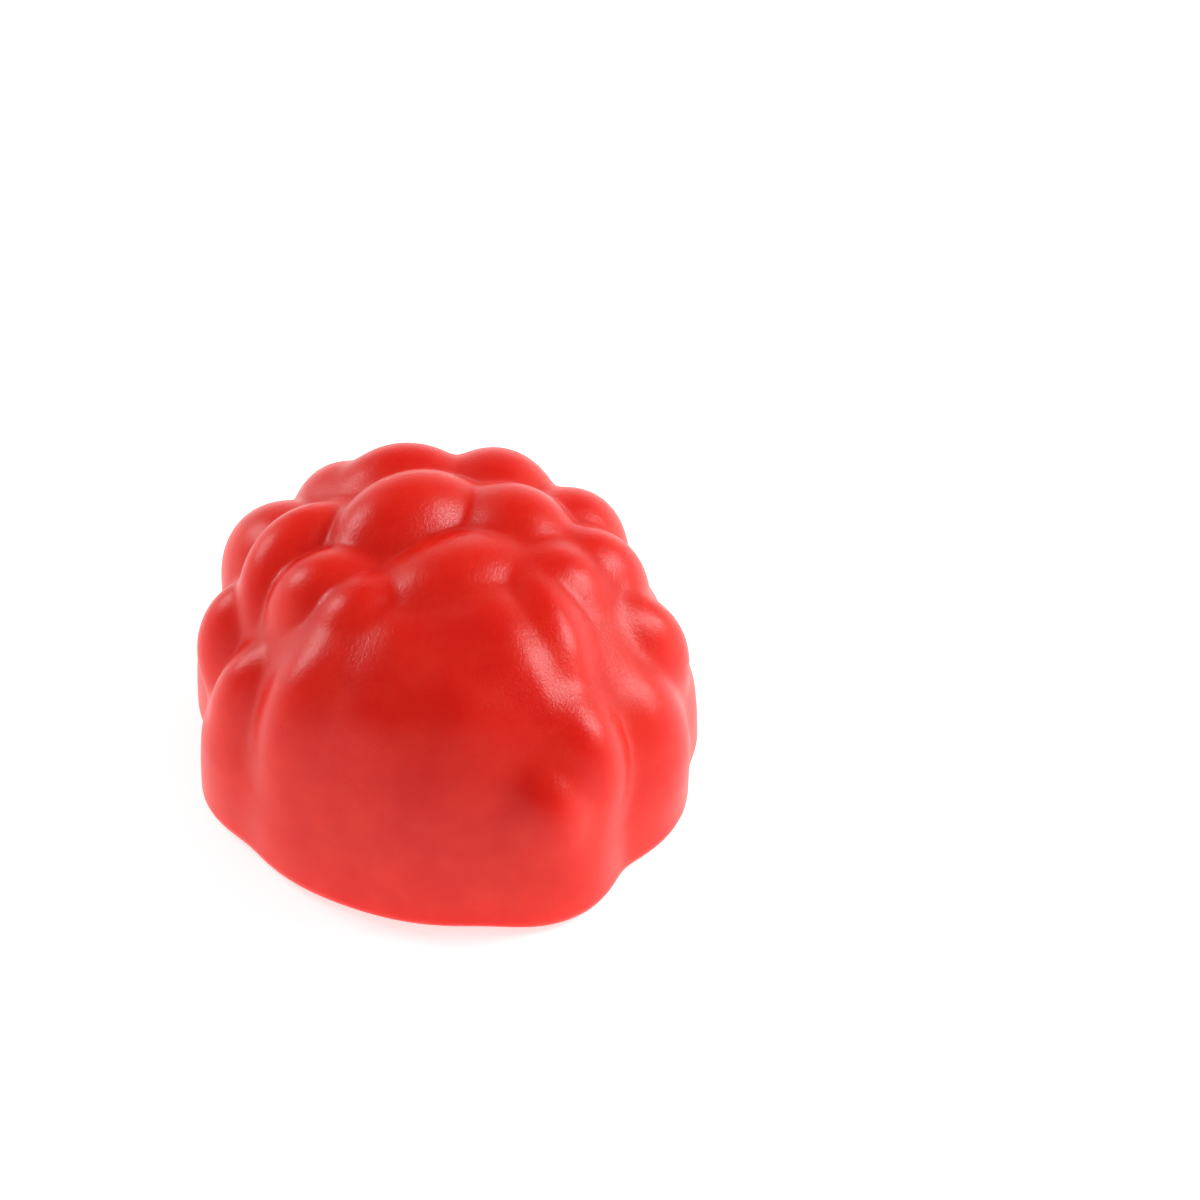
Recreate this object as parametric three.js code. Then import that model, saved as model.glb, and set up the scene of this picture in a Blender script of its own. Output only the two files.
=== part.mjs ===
// A gummy vitamin moulded as half a berry: an oval dome, flat underneath, with soft upright
// flutes round its wall and rounded swells over its crown. Millimetres, +Z up, the front is -Y.
// An azimuth is in degrees, turned from the front towards +X.
import * as THREE from 'three';

// The dome is a superellipsoid, cut flat through its middle and turned a little on its foot.
const dome = { halfWidth: 8.5, halfLength: 9.75, height: 9.65, fullness: 2.75, turn: 20 };
const footRound = 0.55; // radius of the edge between the wall and the flat base

// Upright flutes of the wall: azimuth, how far each stands proud, half of its width.
const flutes = [
  [-66, 1.12, 3.3],
  [-38, 0.58, 3.2],
  [-8, 0.25, 3.0],
  [25, 1.17, 2.9],
  [62, 0.72, 3.2],
  [92, 0.8, 2.6],
  [122, 0.8, 2.9],
  [154, 0.75, 3.1],
  [186, 0.7, 3.1],
  [218, 0.8, 3.2],
  [253, 1.0, 3.1],
];
const fluteRadius = 9.4; // where the flutes' widths are measured
const fluteFade = { from: 2.5, to: 9.0, drop: 1.2 }; // heights between which they sink into the dome

// Swells of the crown, from the top outwards: place in plan (x, y), half width across the slope,
// half length up the slope, how far each stands proud, turn anticlockwise as seen from outside.
const topSwells = [
  [-1.4, 2.0, 3.2, 2.2, 1.25, 0],
  [0.6, -1.5, 3.1, 2.1, 0.9, 10],
  [2.8, 2.0, 2.4, 2.2, 0.95, 0],
];
const shoulderSwells = [
  [-4.6, -1.4, 1.7, 2.3, 0.95, 0],
  [-3.1, -3.0, 1.5, 1.9, 0.8, 0],
  [-1.5, -4.7, 1.7, 1.8, 0.5, 0],
  [0.6, -4.6, 1.7, 1.8, 0.5, 0],
  [2.1, -4.3, 1.8, 3.0, 0.75, 0],
  [3.85, -3.3, 1.3, 3.2, 0.75, -30],
  [4.4, -0.8, 1.7, 2.0, 0.7, 0],
  [2.2, 6.0, 2.3, 2.3, 1.0, 0],
  [-1.8, 5.4, 2.8, 2.0, 1.05, 0],
  [-5.9, 1.1, 1.6, 3.2, 1.15, 48],
];
const rimSwells = [
  [-8.0, -0.1, 1.6, 2.8, 1.2, 20],
  [-7.4, -3.2, 1.6, 2.8, 1.1, 0],
  [-5.2, -5.6, 1.7, 3.6, 1.0, 0],
  [-2.3, -6.9, 1.8, 1.4, 0.5, 0],
  [0.9, -7.1, 1.9, 1.6, 0.6, 0],
  [3.9, -8.5, 1.7, 2.3, 1.45, 0],
  [5.3, -7.1, 1.9, 3.0, 1.25, 0],
  [7.9, -4.0, 2.2, 3.0, 1.0, 0],
  [7.9, -0.9, 1.8, 2.7, 1.1, 0],
  [6.1, 1.1, 1.8, 2.5, 0.9, 0],
  [5.4, 4.4, 2.0, 2.5, 1.0, 0],
  [-4.3, 6.0, 1.9, 2.4, 0.85, 0],
  [-7.0, 3.6, 2.4, 2.9, 1.3, 0],
];
const swells = [...topSwells, ...shoulderSwells, ...rimSwells];
const swellDepth = 0.15; // how fast a swell ends behind its own slope, per square millimetre
const rimLimit = 0.97; // places nearer to the rim of the oval plan are drawn in to here

// A low filling covers the front: its thickness, the azimuths between which each of its sides
// rises, and the elevations between which it ends.
const frontFill = { thickness: 0.55, left: [-75, -40], right: [28, 44], top: [52, 70] };

// The mould is worn: its valleys are softer over the front, and softest round the wall.
const wear = { front: 0.7, wall: 0.8, left: [-75, -35], right: [80, 120], wallTop: [10, 35] };
const crispness = { crown: 6, worn: 2.4 }; // sharpness of the valleys, per millimetre

// Facets: steps round the piece, and rows from the foot's rounded edge to the apex.
const roundSteps = 120;
const crownRows = 42;
const footRowAngles = [0, 30, 60, 90];
const rowCrowding = 1.15; // over 1 sets the rows closer near the foot

const radians = THREE.MathUtils.degToRad;
const upright = new THREE.Vector3(0, 0, 1);
const turnAngle = radians(dome.turn);

const ramp = (value, [from, to]) => THREE.MathUtils.smoothstep(value, from, to);

// Squared distance from the middle of the oval plan, 1 on its rim.
function ovalSquare(point) {
  return (point.x / dome.halfWidth) ** 2 + (point.y / dome.halfLength) ** 2;
}

// Distance from the middle of the base to the dome, along a unit direction.
function domeRadius(direction) {
  const local = direction.clone().applyAxisAngle(upright, -turnAngle);
  const plan = ovalSquare(local) ** (dome.fullness / 2);
  const rise = (local.z / dome.height) ** dome.fullness;
  return (plan + rise) ** (-1 / dome.fullness);
}

// The point of the dome above a place in plan, with its outward, sideways and uphill axes.
function domeSeat(x, y) {
  const local = new THREE.Vector3(x, y, 0).applyAxisAngle(upright, -turnAngle);
  const square = ovalSquare(local);
  if (square > rimLimit) local.multiplyScalar(Math.sqrt(rimLimit / square));
  const oval = Math.min(square, rimLimit);
  local.z = dome.height * (1 - oval ** (dome.fullness / 2)) ** (1 / dome.fullness);
  const flat = oval ** (dome.fullness / 2 - 1);
  const outward = new THREE.Vector3(
    flat * local.x / dome.halfWidth ** 2,
    flat * local.y / dome.halfLength ** 2,
    (local.z / dome.height) ** (dome.fullness - 1) / dome.height,
  ).normalize();
  local.applyAxisAngle(upright, turnAngle);
  outward.applyAxisAngle(upright, turnAngle);
  const sideways = new THREE.Vector3().crossVectors(upright, outward).normalize();
  const uphill = new THREE.Vector3().crossVectors(outward, sideways);
  return { point: local, outward, sideways, uphill };
}

// Each swell on its seat, with the axes turned in the slope.
const seatedSwells = swells.map(([x, y, across, along, proud, turn]) => {
  const seat = domeSeat(x, y);
  seat.sideways.applyAxisAngle(seat.outward, radians(turn));
  seat.uphill.applyAxisAngle(seat.outward, radians(turn));
  return { ...seat, across, along, proud };
});

// Share of the front's filling at an azimuth and an elevation, from 0 to 1.
function fillAt(azimuth, elevation) {
  const across = ramp(azimuth, frontFill.left) * (1 - ramp(azimuth, frontFill.right));
  return across * (1 - ramp(elevation, frontFill.top));
}

// Sharpness of the valleys at an azimuth and an elevation.
function sharpnessAt(azimuth, elevation) {
  const across = ramp(azimuth, wear.left) * (1 - ramp(azimuth, wear.right));
  const front = wear.front * across * (1 - ramp(elevation, frontFill.top));
  const wall = wear.wall * (1 - ramp(elevation, wear.wallTop));
  return THREE.MathUtils.lerp(crispness.crown, crispness.worn, Math.max(front, wall));
}

// Height of a flute over the dome: a parabola across it, sinking with height.
function fluteHeight([azimuth, proud, halfWidth], pointAzimuth, z) {
  const away = THREE.MathUtils.euclideanModulo(pointAzimuth - azimuth + 180, 360) - 180;
  const across = fluteRadius * radians(away) / halfWidth;
  const sunk = ramp(z, [fluteFade.from, fluteFade.to]);
  return proud * (1 - across ** 2) - (proud + fluteFade.drop) * sunk;
}

// Height of a swell over the dome: a paraboloid on its seat.
function swellHeight(swell, point) {
  const offset = point.clone().sub(swell.point);
  const across = offset.dot(swell.sideways) / swell.across;
  const along = offset.dot(swell.uphill) / swell.along;
  const behind = swellDepth * offset.dot(swell.outward) ** 2;
  return swell.proud * (1 - across ** 2 - along ** 2 - behind);
}

// A largest value whose corners are rounded: the logarithm of a sum of exponentials.
function smoothLargest(values, sharpness) {
  const top = Math.max(...values);
  const sum = values.reduce((total, value) => total + Math.exp(sharpness * (value - top)), 0);
  return top + Math.log(sum) / sharpness;
}

// A point of the finished surface, in the direction of an azimuth and an elevation.
function surfacePoint(azimuth, elevation) {
  const flat = Math.cos(radians(elevation));
  const direction = new THREE.Vector3(
    flat * Math.sin(radians(azimuth)),
    -flat * Math.cos(radians(azimuth)),
    Math.sin(radians(elevation)),
  );
  const radius = domeRadius(direction);
  const onDome = direction.clone().multiplyScalar(radius);
  const heights = [
    frontFill.thickness * fillAt(azimuth, elevation),
    ...flutes.map((flute) => fluteHeight(flute, azimuth, onDome.z)),
    ...seatedSwells.map((swell) => swellHeight(swell, onDome)),
  ];
  const height = smoothLargest(heights, sharpnessAt(azimuth, elevation));
  const point = direction.multiplyScalar(radius + height);
  // below the top of the rounded edge the wall draws in along a quarter circle
  const below = Math.max(footRound - point.z, 0);
  const drawIn = footRound - Math.sqrt(footRound ** 2 - below ** 2);
  const planRadius = Math.hypot(point.x, point.y);
  const keep = planRadius > drawIn ? 1 - drawIn / planRadius : 1;
  return point.set(point.x * keep, point.y * keep, point.z);
}

// Elevations of the rows: quarter-circle steps over the rounded edge, then up to the apex.
function rowElevations() {
  const toElevation = (z) => THREE.MathUtils.radToDeg(Math.asin(z / fluteRadius));
  const foot = footRowAngles.map((angle) => toElevation(footRound * (1 - Math.cos(radians(angle)))));
  const start = foot[foot.length - 1];
  const rows = Array.from({ length: crownRows - 1 }, (_, row) => (
    start + (90 - start) * ((row + 1) / crownRows) ** rowCrowding
  ));
  return [...foot, ...rows];
}

// The whole closed surface: rings joined by triangles, an apex, and a fan for the flat base.
function gummyGeometry() {
  const elevations = rowElevations();
  const points = elevations.flatMap((elevation) => (
    Array.from({ length: roundSteps }, (_, step) => (
      surfacePoint((360 * step) / roundSteps - 180, elevation)
    ))
  ));
  const apex = points.push(surfacePoint(0, 90)) - 1;
  const baseMiddle = points.push(new THREE.Vector3(0, 0, 0)) - 1;
  const triangles = [];
  const lastRow = elevations.length - 1;
  for (let step = 0; step < roundSteps; step += 1) {
    const next = (step + 1) % roundSteps;
    for (let row = 0; row < lastRow; row += 1) {
      const low = row * roundSteps;
      const high = low + roundSteps;
      triangles.push(low + step, low + next, high + next);
      triangles.push(low + step, high + next, high + step);
    }
    triangles.push(lastRow * roundSteps + step, lastRow * roundSteps + next, apex);
    triangles.push(next, step, baseMiddle);
  }
  const geometry = new THREE.BufferGeometry().setFromPoints(points);
  geometry.setIndex(triangles);
  // the origin is the middle of the bounding box's underside
  geometry.computeBoundingBox();
  const middle = geometry.boundingBox.getCenter(new THREE.Vector3());
  geometry.translate(-middle.x, -middle.y, 0);
  geometry.computeVertexNormals();
  return geometry;
}

const redGel = new THREE.MeshStandardMaterial({ color: 0xc8190f, roughness: 0.38, metalness: 0 });

const gummy = new THREE.Mesh(gummyGeometry(), redGel);
gummy.name = 'gummy';

const part = new THREE.Group();
part.add(gummy);

export default part;
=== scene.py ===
import bpy
import numpy as np
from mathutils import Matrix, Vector


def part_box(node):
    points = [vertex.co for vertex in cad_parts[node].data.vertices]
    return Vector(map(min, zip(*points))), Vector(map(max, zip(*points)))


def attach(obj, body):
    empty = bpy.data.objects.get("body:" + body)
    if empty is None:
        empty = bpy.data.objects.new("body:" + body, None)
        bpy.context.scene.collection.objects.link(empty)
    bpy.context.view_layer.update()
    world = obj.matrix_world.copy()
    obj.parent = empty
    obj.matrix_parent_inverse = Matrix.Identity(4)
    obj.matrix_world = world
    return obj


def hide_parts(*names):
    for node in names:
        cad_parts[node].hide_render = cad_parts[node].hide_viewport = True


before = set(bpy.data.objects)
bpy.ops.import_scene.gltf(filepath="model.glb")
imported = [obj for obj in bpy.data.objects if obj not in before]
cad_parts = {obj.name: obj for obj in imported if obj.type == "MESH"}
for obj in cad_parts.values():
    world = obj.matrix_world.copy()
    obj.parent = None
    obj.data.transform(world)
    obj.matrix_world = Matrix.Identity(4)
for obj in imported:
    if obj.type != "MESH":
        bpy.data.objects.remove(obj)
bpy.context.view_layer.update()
print("frame loaded")

metre = 0.001  # the gummy's sizes are in millimetres, and its mesh is in metres

# The mould: an oval dome turned on its foot, with upright flutes and rounded swells.
# An azimuth is in degrees from the front (-Y) towards +X.
berry = {
    "halfWidth": 8.5,
    "halfLength": 9.75,
    "height": 9.65,
    "fullness": 2.75,  # power of the dome's curve: 2 is an ellipsoid, more is boxier
    "turn": 20,  # of the dome on its foot, degrees
    "footRound": 0.55,  # radius of the edge between wall and base
    "flutes": [  # azimuth, how far it stands proud, half of its width
        (-66, 1.12, 3.3),
        (-38, 0.58, 3.2),
        (-8, 0.25, 3.0),
        (25, 1.17, 2.9),
        (62, 0.72, 3.2),
        (92, 0.8, 2.6),
        (122, 0.8, 2.9),
        (154, 0.75, 3.1),
        (186, 0.7, 3.1),
        (218, 0.8, 3.2),
        (253, 1.0, 3.1),
    ],
    "fluteRadius": 9.4,  # where the flutes' widths are measured
    "fluteFadeFrom": 2.5,  # heights between which the flutes sink into the dome
    "fluteFadeTo": 9.0,
    "fluteDrop": 1.2,  # how far under the dome they end
    "swells": [  # place in plan x and y, half width across, half length along, proud, turn
        (-1.4, 2.0, 3.2, 2.2, 1.25, 0),
        (0.6, -1.5, 3.1, 2.1, 0.9, 10),
        (2.8, 2.0, 2.4, 2.2, 0.95, 0),
        (-4.6, -1.4, 1.7, 2.3, 0.95, 0),
        (-3.1, -3.0, 1.5, 1.9, 0.8, 0),
        (-1.5, -4.7, 1.7, 1.8, 0.5, 0),
        (0.6, -4.6, 1.7, 1.8, 0.5, 0),
        (2.1, -4.3, 1.8, 3.0, 0.75, 0),
        (3.85, -3.3, 1.3, 3.2, 0.75, -30),
        (4.4, -0.8, 1.7, 2.0, 0.7, 0),
        (2.2, 6.0, 2.3, 2.3, 1.0, 0),
        (-1.8, 5.4, 2.8, 2.0, 1.05, 0),
        (-5.9, 1.1, 1.6, 3.2, 1.15, 48),
        (-8.0, -0.1, 1.6, 2.8, 1.2, 20),
        (-7.4, -3.2, 1.6, 2.8, 1.1, 0),
        (-5.2, -5.6, 1.7, 3.6, 1.0, 0),
        (-2.3, -6.9, 1.8, 1.4, 0.5, 0),
        (0.9, -7.1, 1.9, 1.6, 0.6, 0),
        (3.9, -8.5, 1.7, 2.3, 1.45, 0),
        (5.3, -7.1, 1.9, 3.0, 1.25, 0),
        (7.9, -4.0, 2.2, 3.0, 1.0, 0),
        (7.9, -0.9, 1.8, 2.7, 1.1, 0),
        (6.1, 1.1, 1.8, 2.5, 0.9, 0),
        (5.4, 4.4, 2.0, 2.5, 1.0, 0),
        (-4.3, 6.0, 1.9, 2.4, 0.85, 0),
        (-7.0, 3.6, 2.4, 2.9, 1.3, 0),
    ],
    "swellDepth": 0.15,  # how fast a swell ends behind its own slope, per square millimetre
    "rimLimit": 0.97,  # swells nearer to the rim of the oval plan are drawn in to here
    "frontFill": 0.55,  # thickness of the low filling over the front
    "fillLeft": (-75, -40),  # azimuths between which each side of the filling rises
    "fillRight": (28, 44),
    "wornLeft": (-75, -35),  # azimuths between which each side of the worn front begins
    "wornRight": (80, 120),
    "frontTop": (52, 70),  # elevations between which filling and wear end
    "wallTop": (10, 35),  # elevations between which the wear of the wall ends
    "crownCrispness": 6,  # sharpness of the valleys, per millimetre
    "wornCrispness": 2.4,
    "frontWear": 0.7,
    "wallWear": 0.8,
    "deepest": -6,  # heights lower than this play no part
    "roundSteps": 400,
    "crownRows": 218,
    "rowCrowding": 1.1,  # over 1 sets the rows closer near the foot
    "footRows": 7,
    "baseRings": 10,
}


def ramp(value, start, end):  # smooth step from 0 at start to 1 at end
    share = np.clip((value - start) / (end - start), 0, 1)
    return share * share * (3 - 2 * share)


def turned(x, y, degrees):  # a plan place turned anticlockwise
    angle = np.radians(degrees)
    return x * np.cos(angle) - y * np.sin(angle), x * np.sin(angle) + y * np.cos(angle)


def ovalSquare(x, y):  # squared distance from the middle of the oval plan, 1 on its rim
    return (x / berry["halfWidth"]) ** 2 + (y / berry["halfLength"]) ** 2


# Distance from the middle of the base to the dome along unit directions:
# (plan distance ** fullness + height share ** fullness) ** (-1 / fullness).
def domeRadius(directions):
    x, y = turned(directions[..., 0], directions[..., 1], -berry["turn"])
    full = berry["fullness"]
    rise = (directions[..., 2] / berry["height"]) ** full
    return (ovalSquare(x, y) ** (full / 2) + rise) ** (-1 / full)


# The dome's point above a place in plan, with its outward, sideways and uphill axes.
def domeSeat(x, y):
    full = berry["fullness"]
    limit = berry["rimLimit"]
    x, y = turned(x, y, -berry["turn"])
    oval = ovalSquare(x, y)
    if oval > limit:
        x, y = x * np.sqrt(limit / oval), y * np.sqrt(limit / oval)
        oval = limit
    z = berry["height"] * (1 - oval ** (full / 2)) ** (1 / full)
    flat = oval ** (full / 2 - 1)
    outX, outY = turned(
        flat * x / berry["halfWidth"] ** 2, flat * y / berry["halfLength"] ** 2, berry["turn"]
    )
    outward = np.array([outX, outY, (z / berry["height"]) ** (full - 1) / berry["height"]])
    outward /= np.linalg.norm(outward)
    sideways = np.cross([0, 0, 1], outward)
    sideways /= np.linalg.norm(sideways)
    return np.array([*turned(x, y, berry["turn"]), z]), outward, sideways, np.cross(outward, sideways)


# Height of a flute over the dome: a parabola across it, sinking with height.
def fluteHeight(flute, azimuth, z):
    middle, proud, halfWidth = flute
    away = (azimuth - middle + 180) % 360 - 180
    across = berry["fluteRadius"] * np.radians(away) / halfWidth
    sunk = ramp(z, berry["fluteFadeFrom"], berry["fluteFadeTo"])
    return proud * (1 - across**2) - (proud + berry["fluteDrop"]) * sunk


# Height of a swell over the dome: a paraboloid on its seat.
def swellHeight(swell, points):
    x, y, halfWidth, halfLength, proud, turn = swell
    seat, outward, sideways, uphill = domeSeat(x, y)
    offset = points - seat
    right, back = turned(offset @ sideways, offset @ uphill, -turn)
    across = right / halfWidth
    along = back / halfLength
    behind = berry["swellDepth"] * (offset @ outward) ** 2
    return proud * (1 - across**2 - along**2 - behind)


# The gummy's surface as a function of azimuth and elevation, both in degrees: the dome's radius plus
# the logarithm of a sum of exponentials of all heights, with the foot drawn in on a quarter circle.
def berrySurface(azimuth, elevation):
    flat = np.cos(np.radians(elevation))
    directions = np.stack(
        [
            flat * np.sin(np.radians(azimuth)),
            -flat * np.cos(np.radians(azimuth)),
            np.sin(np.radians(elevation)) + 0 * azimuth,
        ],
        axis=-1,
    )
    radius = domeRadius(directions)
    points = directions * radius[..., None]
    below = 1 - ramp(elevation, *berry["frontTop"])
    filled = below * ramp(azimuth, *berry["fillLeft"]) * (1 - ramp(azimuth, *berry["fillRight"]))
    front = below * ramp(azimuth, *berry["wornLeft"]) * (1 - ramp(azimuth, *berry["wornRight"]))
    wall = 1 - ramp(elevation, *berry["wallTop"])
    wear = np.maximum(berry["frontWear"] * front, berry["wallWear"] * wall)
    crispness = berry["crownCrispness"] + (berry["wornCrispness"] - berry["crownCrispness"]) * wear
    heights = [berry["frontFill"] * filled]
    heights += [fluteHeight(flute, azimuth, points[..., 2]) for flute in berry["flutes"]]
    heights += [swellHeight(swell, points) for swell in berry["swells"]]
    heights = np.maximum(np.array(heights), berry["deepest"])
    top = heights.max(axis=0)
    soft = top + np.log(np.exp(crispness * (heights - top)).sum(axis=0)) / crispness
    points = directions * (radius + soft)[..., None]
    footRound = berry["footRound"]
    underRound = np.maximum(footRound - points[..., 2], 0)
    drawIn = footRound - np.sqrt(footRound**2 - underRound**2)
    planRadius = np.hypot(points[..., 0], points[..., 1])
    keep = np.where(planRadius > drawIn, 1 - drawIn / np.maximum(planRadius, 1e-9), 1)
    points[..., :2] *= keep[..., None]
    return points


# Elevations of the rows: even quarter-circle steps over the foot, then up to just under the apex.
def rowElevations():
    steps = np.linspace(0, np.pi / 2, berry["footRows"])
    foot = np.degrees(np.arcsin(berry["footRound"] * (1 - np.cos(steps)) / berry["fluteRadius"]))
    share = np.arange(1, berry["crownRows"]) / berry["crownRows"]
    return np.concatenate([foot, foot[-1] + (90 - foot[-1]) * share ** berry["rowCrowding"]])


# A smooth mesh object from points in metres and faces that list their corners anticlockwise.
def meshPiece(name, points, quads, triangles):
    mesh = bpy.data.meshes.new(name)
    corners = np.concatenate([quads.ravel(), triangles.ravel()]).astype(np.int32)
    sizes = np.concatenate([np.full(len(quads), 4), np.full(len(triangles), 3)]).astype(np.int32)
    mesh.vertices.add(len(points))
    mesh.vertices.foreach_set("co", points.astype(np.float32).ravel())
    mesh.loops.add(len(corners))
    mesh.loops.foreach_set("vertex_index", corners)
    mesh.polygons.add(len(sizes))
    mesh.polygons.foreach_set("loop_start", np.concatenate([[0], np.cumsum(sizes)[:-1]]).astype(np.int32))
    mesh.update(calc_edges=True)
    mesh.validate()
    mesh.shade_smooth()
    piece = bpy.data.objects.new(name, mesh)
    bpy.context.scene.collection.objects.link(piece)
    return piece


# Rings of the underside from the middle outwards, then the wall and crown up to one apex point.
# It also gives back the place of the dome's own middle, in metres.
def makeGummy():
    around = np.linspace(-180, 180, berry["roundSteps"], endpoint=False)
    azimuth, elevation = np.meshgrid(around, rowElevations())
    upper = berrySurface(azimuth, elevation)
    share = np.arange(1, berry["baseRings"]) / berry["baseRings"]
    under = upper[0][None] * share[:, None, None]
    rings = np.concatenate([under, upper])
    apex = berrySurface(np.array([0.0]), np.array([90.0]))
    points = np.concatenate([rings.reshape(-1, 3), apex, [[0, 0, 0]]])
    low, high = points.min(axis=0), points.max(axis=0)
    boxLow, boxHigh = [np.array(corner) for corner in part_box("gummy")]
    shift = np.zeros(3)
    shift[:2] = (boxLow + boxHigh)[:2] / 2 - metre * (low + high)[:2] / 2
    points = points * metre + shift  # the middle of its own box goes to the frame's
    ringCount, steps = rings.shape[:2]
    index = np.arange(ringCount * steps).reshape(ringCount, steps)
    nextStep = np.roll(index, -1, axis=1)
    quads = np.stack([index[:-1], nextStep[:-1], nextStep[1:], index[1:]], axis=-1).reshape(-1, 4)
    apexIndex, middleIndex = ringCount * steps, ringCount * steps + 1
    cap = np.stack([index[-1], nextStep[-1], np.full(steps, apexIndex)], axis=-1)
    fan = np.stack([nextStep[0], index[0], np.full(steps, middleIndex)], axis=-1)
    return meshPiece("berryGummy", points, quads, np.concatenate([cap, fan])), shift


# A shader node whose inputs are given as values, or as the sockets that feed them.
def addNode(tree, kind, inputs=None, **settings):
    node = tree.nodes.new(kind)
    for name, value in settings.items():
        setattr(node, name, value)
    for name, value in (inputs or {}).items():
        if isinstance(value, bpy.types.NodeSocket):
            tree.links.new(value, node.inputs[name])
        else:
            node.inputs[name].default_value = value
    return node


# Red fruit gel: colour, gloss and skin of the gummy.
gel = {
    "deep": (0.8, 0.009, 0.002, 1),
    "bright": (0.85, 0.02, 0.006, 1),
    "mottleScale": 520,  # patches of the two reds, per metre
    "mottleDetail": 4,
    "mottleRoughness": 0.55,
    "mottleFrom": 0.36,
    "mottleTo": 0.64,
    "roughFrom": 0.2,  # the gloss follows the same patches
    "roughTo": 0.8,
    "roughLow": 0.285,
    "roughHigh": 0.35,
    "scatterDistance": 0.0018,  # metres
    "scatterRadius": (1.0, 0.1, 0.05),  # red light goes deepest
    "scatterWeight": 1.0,
    "wrinkleScale": 9000,  # fine skin wrinkles, per metre
    "wrinkleTwist": 0.8,
    "wrinkleHeight": 0.000015,  # metres
    "wrinkleFrom": 0.002,  # heights between which they grow to full strength
    "wrinkleTo": 0.006,
    "wrinkleWall": 0.15,  # their share that is left on the wall
    "pebbleScale": 1500,  # broader, very low pebbles under them
    "pebbleHeight": 0.00001,
    "skinDetail": 2,
    "skinRoughness": 0.5,
    "bend": 1.47,  # refractive index
    "shine": 0.38,
}


def makeGel():
    material = bpy.data.materials.new("redFruitGel")
    material.use_nodes = True
    tree = material.node_tree
    shader = tree.nodes["Principled BSDF"]
    place = addNode(tree, "ShaderNodeTexCoord").outputs["Object"]
    mottle = addNode(
        tree,
        "ShaderNodeTexNoise",
        {
            "Vector": place,
            "Scale": gel["mottleScale"],
            "Detail": gel["mottleDetail"],
            "Roughness": gel["mottleRoughness"],
        },
    )
    patches = addNode(
        tree,
        "ShaderNodeMapRange",
        {
            "Value": mottle.outputs["Fac"],
            "From Min": gel["mottleFrom"],
            "From Max": gel["mottleTo"],
        },
    )
    colour = addNode(
        tree,
        "ShaderNodeMix",
        {"Factor": patches.outputs["Result"]},
        data_type="RGBA",
    )
    # of a colour mix, inputs 6 and 7 are its two colours and output 2 is the mixed one
    colour.inputs[6].default_value = gel["deep"]
    colour.inputs[7].default_value = gel["bright"]
    tree.links.new(colour.outputs[2], shader.inputs["Base Color"])
    rough = addNode(
        tree,
        "ShaderNodeMapRange",
        {
            "Value": mottle.outputs["Fac"],
            "From Min": gel["roughFrom"],
            "From Max": gel["roughTo"],
            "To Min": gel["roughLow"],
            "To Max": gel["roughHigh"],
        },
    )
    tree.links.new(rough.outputs["Result"], shader.inputs["Roughness"])
    wrinkle = addNode(
        tree,
        "ShaderNodeTexNoise",
        {
            "Vector": place,
            "Scale": gel["wrinkleScale"],
            "Detail": gel["skinDetail"],
            "Roughness": gel["skinRoughness"],
            "Distortion": gel["wrinkleTwist"],
        },
    )
    pebble = addNode(
        tree,
        "ShaderNodeTexNoise",
        {
            "Vector": place,
            "Scale": gel["pebbleScale"],
            "Detail": gel["skinDetail"],
            "Roughness": gel["skinRoughness"],
        },
    )
    pebbleBump = addNode(
        tree,
        "ShaderNodeBump",
        {"Height": pebble.outputs["Fac"], "Strength": 1, "Distance": gel["pebbleHeight"]},
    )
    crown = addNode(
        tree,
        "ShaderNodeMapRange",
        {
            "Value": addNode(tree, "ShaderNodeSeparateXYZ", {"Vector": place}).outputs["Z"],
            "From Min": gel["wrinkleFrom"],
            "From Max": gel["wrinkleTo"],
            "To Min": gel["wrinkleWall"],
            "To Max": 1,
        },
        interpolation_type="SMOOTHSTEP",
    )
    wrinkleBump = addNode(
        tree,
        "ShaderNodeBump",
        {
            "Height": wrinkle.outputs["Fac"],
            "Strength": crown.outputs["Result"],
            "Distance": gel["wrinkleHeight"],
            "Normal": pebbleBump.outputs["Normal"],
        },
    )
    tree.links.new(wrinkleBump.outputs["Normal"], shader.inputs["Normal"])
    shader.inputs["Subsurface Weight"].default_value = gel["scatterWeight"]
    shader.inputs["Subsurface Radius"].default_value = gel["scatterRadius"]
    shader.inputs["Subsurface Scale"].default_value = gel["scatterDistance"]
    shader.inputs["IOR"].default_value = gel["bend"]
    shader.inputs["Specular IOR Level"].default_value = gel["shine"]
    return material


gummy, domeMiddle = makeGummy()
gummy.data.materials.append(makeGel())
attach(gummy, "root")
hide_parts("gummy")
print("gummy made:", len(gummy.data.polygons), "faces")

# A pale table that reaches far out and glows a little, so that it looks evenly white. Metres.
table = {
    "halfSize": 4.0,
    "height": -0.00001,  # a hair under the gummy's base
    "colour": (0.85, 0.85, 0.85, 1),
    "roughness": 0.7,
    "glow": 0.62,
}


def makeTable():
    half = table["halfSize"]
    corners = np.array([[-half, -half, 0], [half, -half, 0], [half, half, 0], [-half, half, 0]])
    corners[:, 2] = table["height"]
    floor = meshPiece("paleTable", corners, np.array([[0, 1, 2, 3]]), np.zeros((0, 3), int))
    material = bpy.data.materials.new("paleTableTop")
    material.use_nodes = True
    shader = material.node_tree.nodes["Principled BSDF"]
    shader.inputs["Base Color"].default_value = table["colour"]
    shader.inputs["Roughness"].default_value = table["roughness"]
    shader.inputs["Emission Color"].default_value = (1, 1, 1, 1)
    shader.inputs["Emission Strength"].default_value = table["glow"]
    floor.data.materials.append(material)
    return floor


makeTable()

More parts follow.
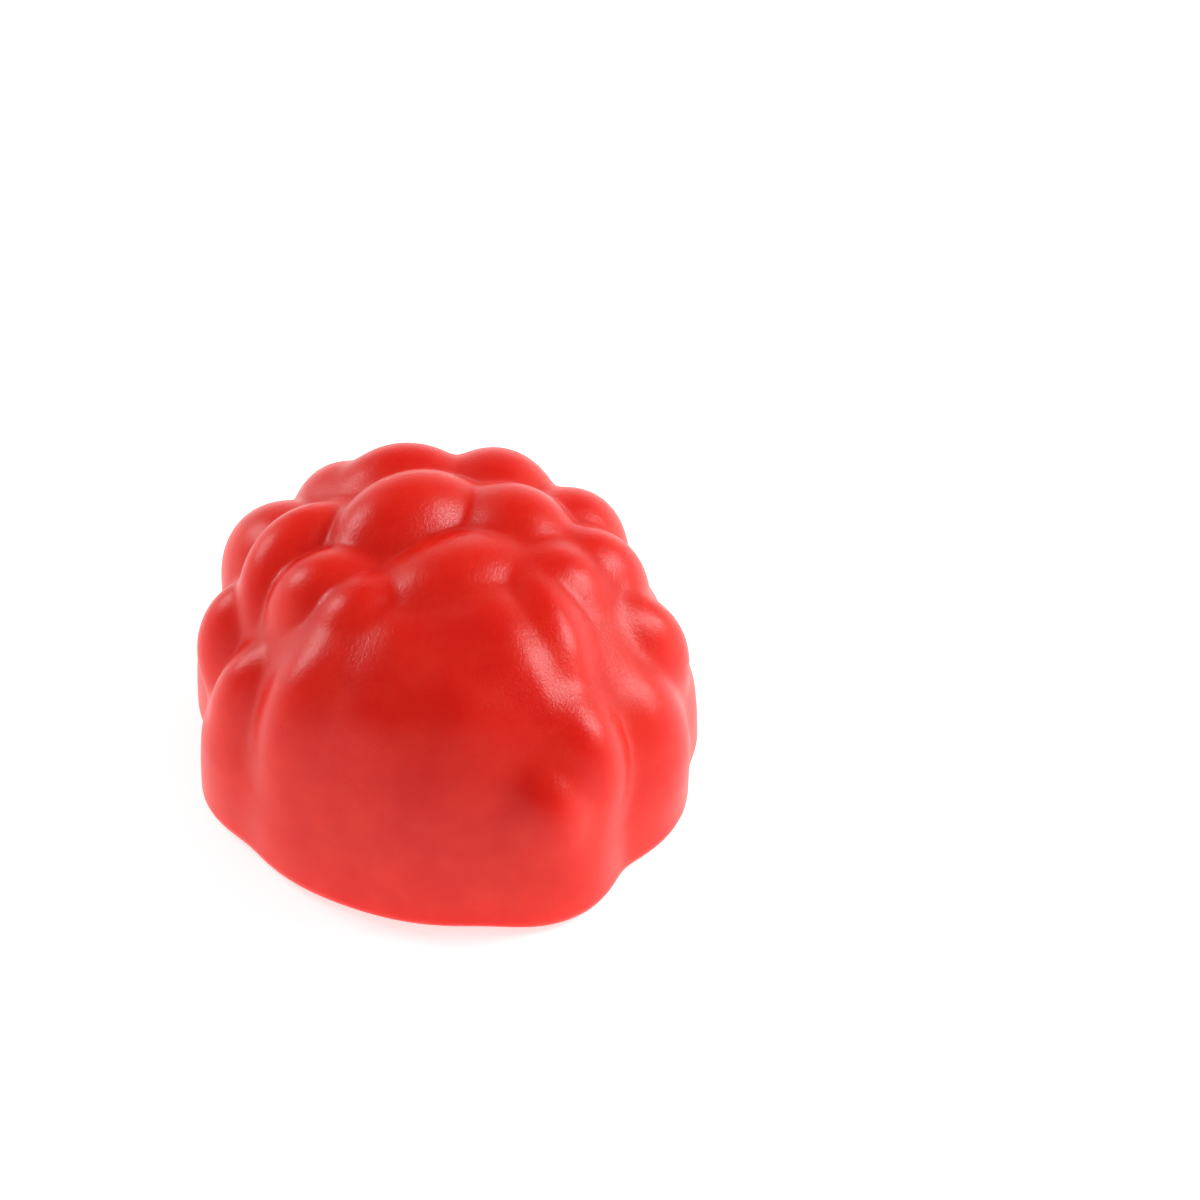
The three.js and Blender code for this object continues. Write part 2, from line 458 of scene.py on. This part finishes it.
# Soft studio light: where each panel hangs round the gummy (degrees, metres), its size and brightness.
studio = {
    "key": {
        "azimuth": 104,
        "elevation": 37,
        "distance": 0.3,
        "width": 0.13,
        "height": 0.15,
        "radiance": 10.0,
    },
    "fill": {
        "azimuth": -121,
        "elevation": 34,
        "distance": 0.35,
        "width": 0.13,
        "height": 0.15,
        "radiance": 7.5,
    },
}
surroundings = {
    "seen": 1.0,  # brightness as the camera sees the room
    "low": 1.1,  # brightness that lights the gummy from the horizon
    "high": 0.2,  # and from overhead
    "highFrom": 0.6,  # sine of the elevation from which it counts as overhead
}


def makePanel(name, panel):
    data = bpy.data.lights.new(name, "AREA")
    data.shape = "RECTANGLE"
    data.size, data.size_y = panel["width"], panel["height"]
    data.energy = panel["radiance"] * np.pi * panel["width"] * panel["height"]
    light = bpy.data.objects.new(name, data)
    azimuth, elevation = np.radians(panel["azimuth"]), np.radians(panel["elevation"])
    flat = np.cos(elevation)
    toward = Vector((flat * np.sin(azimuth), -flat * np.cos(azimuth), np.sin(elevation)))
    light.location = toward * panel["distance"]
    light.rotation_euler = toward.to_track_quat("Z", "Y").to_euler()
    light.visible_camera = False
    bpy.context.scene.collection.objects.link(light)


def makeSurroundings():
    world = bpy.data.worlds.new("paleRoom")
    world.use_nodes = True
    bpy.context.scene.world = world
    tree = world.node_tree
    background = tree.nodes["Background"]
    up = addNode(
        tree,
        "ShaderNodeSeparateXYZ",
        {"Vector": addNode(tree, "ShaderNodeTexCoord").outputs["Generated"]},
    ).outputs["Z"]
    room = addNode(
        tree,
        "ShaderNodeMapRange",
        {
            "Value": up,
            "From Min": 0.0,
            "From Max": surroundings["highFrom"],
            "To Min": surroundings["low"],
            "To Max": surroundings["high"],
        },
    ).outputs["Result"]
    seen = addNode(tree, "ShaderNodeLightPath").outputs["Is Camera Ray"]
    level = addNode(
        tree,
        "ShaderNodeMix",
        {"Factor": seen},
        data_type="FLOAT",
    )
    # of a number mix, inputs 2 and 3 are its two values
    tree.links.new(room, level.inputs[2])
    level.inputs[3].default_value = surroundings["seen"]
    tree.links.new(level.outputs[0], background.inputs["Strength"])
    background.inputs["Color"].default_value = (1, 1, 1, 1)


for name, panel in studio.items():
    makePanel(name + "Panel", panel)
makeSurroundings()
bpy.context.scene.view_settings.view_transform = "Standard"
print("light and table set")

# The photograph's view: looking along +Y and down, from far off, the gummy left of the middle.
photoView = {
    "downward": 40,  # degrees
    "place": (5.76, -128.96, 115.28),  # millimetres, from the dome's own middle
    "lens": 137.2,  # millimetres
    "sensor": 36,  # millimetres
    "near": 0.01,  # metres
    "far": 20,
}


def makeCamera():
    data = bpy.data.cameras.new("photoCamera")
    data.sensor_width = photoView["sensor"]
    data.lens = photoView["lens"]
    camera = bpy.data.objects.new("photoCamera", data)
    camera.location = Vector(photoView["place"]) * metre + Vector(domeMiddle)
    camera.rotation_euler = (np.radians(90 - photoView["downward"]), 0, 0)
    data.clip_start = photoView["near"]
    data.clip_end = photoView["far"]
    bpy.context.scene.collection.objects.link(camera)
    bpy.context.scene.camera = camera


makeCamera()
print("camera set")
